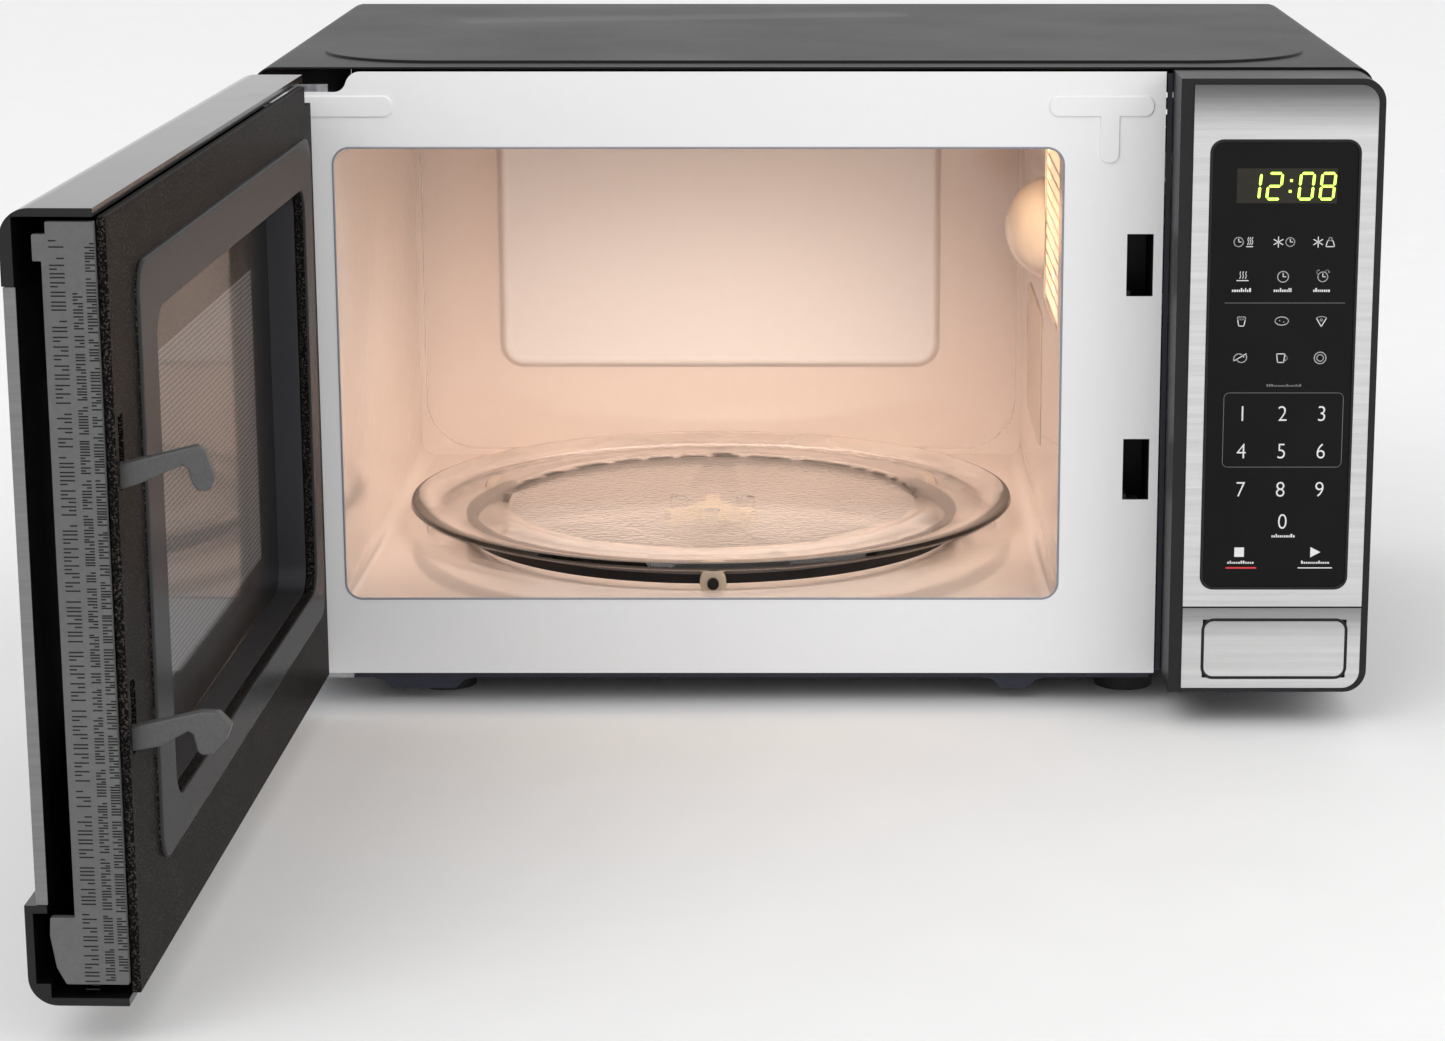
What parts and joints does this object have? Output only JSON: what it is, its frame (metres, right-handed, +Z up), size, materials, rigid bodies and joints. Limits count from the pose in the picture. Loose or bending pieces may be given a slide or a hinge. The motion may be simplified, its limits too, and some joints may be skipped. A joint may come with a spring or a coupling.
{
  "type": "microwave oven",
  "caption": "Countertop microwave oven with a side-hinged push-button door standing open, a turning glass tray and a keypad panel beside the cavity.",
  "frame": {"origin": "on the surface the feet stand on, midway across the casing and midway between the control panel's face and the casing's rear", "axes": "+X to the right seen from the front, +Y from the front to the back, +Z up; at rest the door stands open by 91.4 degrees"},
  "size_m": [0.4574, 0.6704, 0.261],
  "materials": {
    "cover_black": "satin black powder coat",
    "plate_white": "gloss white enamel",
    "cavity_enamel": "warm cream enamel",
    "steel_brushed": "horizontal brushed grain",
    "steel_plain": "zinc plated",
    "black_plastic": "fine moulded texture",
    "gloss_black": "gloss",
    "speckle_plastic": "speckled moulded plastic",
    "grey_plastic": "satin grey plastic",
    "strip_grey": "grey printed strip",
    "clear_glass": "clear pressed glass",
    "dark_glass": "dark tinted",
    "clear_film": "clear polycarbonate",
    "cream_plastic": "satin",
    "mica": "mica sheet",
    "copper": "enamelled copper wire",
    "foot_rubber": "matt",
    "aluminium": "satin",
    "board_green": "solder mask",
    "core_steel": "laminated",
    "display": "tinted display window"
  },
  "bodies": {
    "casing": {"base_plate": "steel_plain", "button_guide": "black_plastic", "button_spring": "steel_plain", "capacitor": "aluminium", "cavity_lamp": "clear_film", "cavity_shell": "cavity_enamel", "control_board": "board_green", "cord_gland": "black_plastic", "display_window": "display", "fan_motor": "core_steel", "fan_shroud": "grey_plastic", "feet": "foot_rubber", "front_plate": "plate_white", "high_voltage_diode": "gloss_black", "interlock_bracket": "black_plastic", "interlock_switches": "gloss_black", "keypad": "gloss_black", "lamp_grille": "cavity_enamel", "lower_hinge": "steel_plain", "magnetron_anode": "aluminium", "magnetron_fins": "aluminium", "magnetron_yoke": "steel_plain", "noise_filter": "board_green", "outer_cover": "cover_black", "panel_bezel": "black_plastic", "panel_face": "steel_brushed", "panel_pocket": "steel_brushed", "rear_panel": "cover_black", "rear_spacers": "black_plastic", "screws": "steel_plain", "thermal_cutouts": "black_plastic", "transformer_core": "core_steel", "transformer_windings": "copper", "turntable_motor": "steel_plain", "upper_hinge": "steel_plain", "waveguide": "steel_plain", "waveguide_cover": "mica"},
    "door": {"door_frame": "gloss_black", "door_steel": "steel_brushed", "door_glass": "dark_glass", "choke_frame": "steel_plain", "door_screen": "core_steel", "inner_window": "clear_film", "choke_cover": "speckle_plastic", "edge_strip": "strip_grey", "latch_spring": "steel_plain", "latch_guides": "black_plastic"},
    "latch": {"latch_bar": "grey_plastic"},
    "button": {"door_button": "black_plastic", "button_cap": "steel_brushed"},
    "lever": {"release_lever": "grey_plastic"},
    "coupler": {"drive_coupler": "cream_plastic"},
    "tray": {"glass_tray": "clear_glass"},
    "ring": {"roller_ring": "black_plastic"},
    "roller_a": {"roller_1": "cream_plastic"},
    "roller_b": {"roller_2": "cream_plastic"},
    "roller_c": {"roller_3": "cream_plastic"},
    "fan": {"fan_rotor": "steel_plain", "fan_blade": "grey_plastic"}
  },
  "joints": [
    {"name": "door_swing", "type": "hinge", "parent": "casing", "child": "door", "pos_m": [-0.2147, -0.1489, 0.12], "axis": [0, 0, 1], "range_deg": [-13.6, 91.4]},
    {"name": "latch_lift", "type": "slide", "parent": "door", "child": "latch", "axis": [0, 0, 1], "range_m": [0, 0.008], "stiffness_N_per_m": 60, "deforming": ["latch_spring"]},
    {"name": "button_press", "type": "slide", "parent": "casing", "child": "button", "axis": [0, 1, 0], "range_m": [0, 0.005], "stiffness_N_per_m": 400, "deforming": ["button_spring"]},
    {"name": "lever_rock", "type": "hinge", "parent": "casing", "child": "lever", "pos_m": [0.15, -0.117, 0.062], "axis": [1, 0, 0], "range_deg": [0, 12]},
    {"name": "coupler_spin", "type": "hinge", "parent": "casing", "child": "coupler", "pos_m": [-0.0457, 0.0125, 0.045], "axis": [0, 0, 1], "continuous": true},
    {"name": "tray_lift", "type": "slide", "parent": "coupler", "child": "tray", "axis": [0, 0, 1], "range_m": [0, 0.015]},
    {"name": "ring_spin", "type": "hinge", "parent": "casing", "child": "ring", "pos_m": [-0.0457, 0.0125, 0.0456], "axis": [0, 0, 1], "continuous": true},
    {"name": "fan_spin", "type": "hinge", "parent": "casing", "child": "fan", "pos_m": [0.162, 0.12, 0.178], "axis": [0, 1, 0], "continuous": true},
    {"name": "roller_spin_1", "type": "hinge", "parent": "ring", "child": "roller_a", "pos_m": [-0.04176, -0.10043, 0.0456], "axis": [0.0349, -0.9994, 0], "continuous": true},
    {"name": "roller_spin_2", "type": "hinge", "parent": "ring", "child": "roller_b", "pos_m": [0.05013, 0.07238, 0.0456], "axis": [0.848, 0.5299, 0], "continuous": true},
    {"name": "roller_spin_3", "type": "hinge", "parent": "ring", "child": "roller_c", "pos_m": [-0.14547, 0.06555, 0.0456], "axis": [-0.8829, 0.4695, 0], "continuous": true}
  ],
  "couplings": [
    {"joint": "lever_rock", "follows": "button_press", "rad_per_m": 40},
    {"joint": "ring_spin", "follows": "coupler_spin", "ratio": 0.5}
  ]
}
